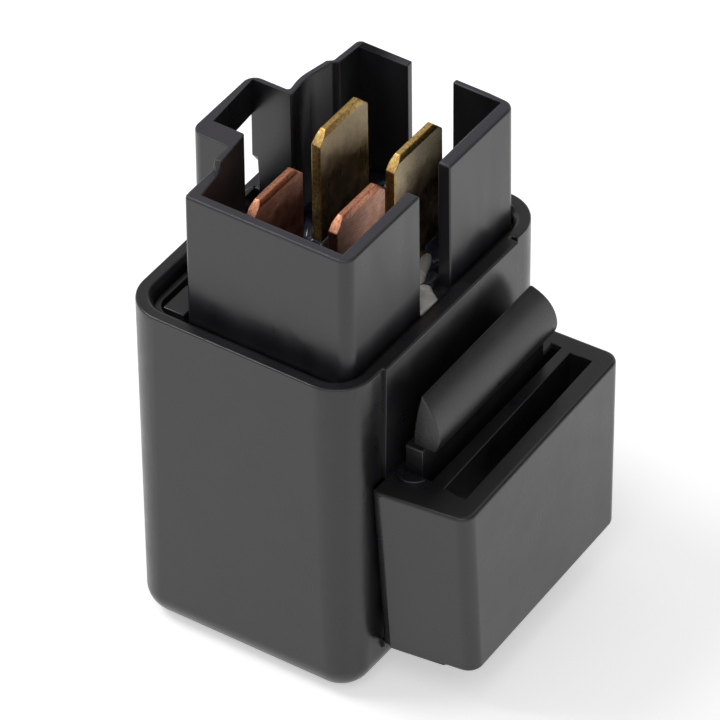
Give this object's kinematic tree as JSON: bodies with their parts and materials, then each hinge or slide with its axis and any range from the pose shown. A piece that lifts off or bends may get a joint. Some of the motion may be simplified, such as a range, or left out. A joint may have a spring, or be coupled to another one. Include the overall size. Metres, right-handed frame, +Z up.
{
  "type": "automotive relay in rubber mounting boot",
  "caption": "Small automotive relay with flat blade terminals inside a keyed connector shroud, held in a rubber boot with a side pocket for a bracket tab.",
  "frame": {"origin": "middle of the flat underside of the boot", "axes": "+Z up, out of the open top along the blades; +X towards the bracket pocket; +Y from the copper blades to the brass blades"},
  "size_m": [0.028, 0.0262, 0.0413],
  "materials": {
    "boot_rubber": "moulded, satin black",
    "case_plastic": "moulded, black",
    "base_plastic": "moulded, satin black",
    "resin": "poured, glossy",
    "blade_copper": "stamped copper, bright sheared edges",
    "blade_brass": "stamped brass, bright sheared edges",
    "rivet_brass": "turned",
    "contact_silver": "silver alloy, coined",
    "frame_iron": "zinc plated iron",
    "bobbin_plastic": "moulded, natural",
    "winding_copper": "enamelled copper wire",
    "tape": "polyester tape",
    "resistor_lacquer": "lacquered",
    "lead_tin": "tinned wire",
    "spring_steel": "drawn wire",
    "leaf_bronze": "rolled bronze strip"
  },
  "bodies": {
    "root": {"rubber_boot": "boot_rubber", "relay_case": "case_plastic", "terminal_base": "base_plastic", "sealing_resin": "resin", "coil_terminal_left": "blade_copper", "coil_terminal_right": "blade_copper", "common_terminal": "blade_brass", "switched_terminal": "blade_brass", "common_rivet": "rivet_brass", "fixed_contact": "contact_silver", "yoke": "frame_iron", "iron_core": "frame_iron", "coil_bobbin": "bobbin_plastic", "coil_winding": "winding_copper", "winding_tape": "tape", "coil_lead_left": "winding_copper", "coil_lead_right": "winding_copper", "resistor_body": "resistor_lacquer", "resistor_leads": "lead_tin", "return_spring": "spring_steel"},
    "armature_arm": {"armature": "frame_iron", "contact_spring": "leaf_bronze", "armature_rivets": "rivet_brass", "moving_contact": "contact_silver"}
  },
  "joints": [
    {"name": "armature_hinge", "type": "hinge", "parent": "root", "child": "armature_arm", "pos_m": [0, -0.007, 0.006], "axis": [1, 0, 0], "range_deg": [0, 2.4], "stiffness_Nm_per_rad": 0.003, "springref_deg": -11.46, "deforming": ["return_spring"]}
  ]
}
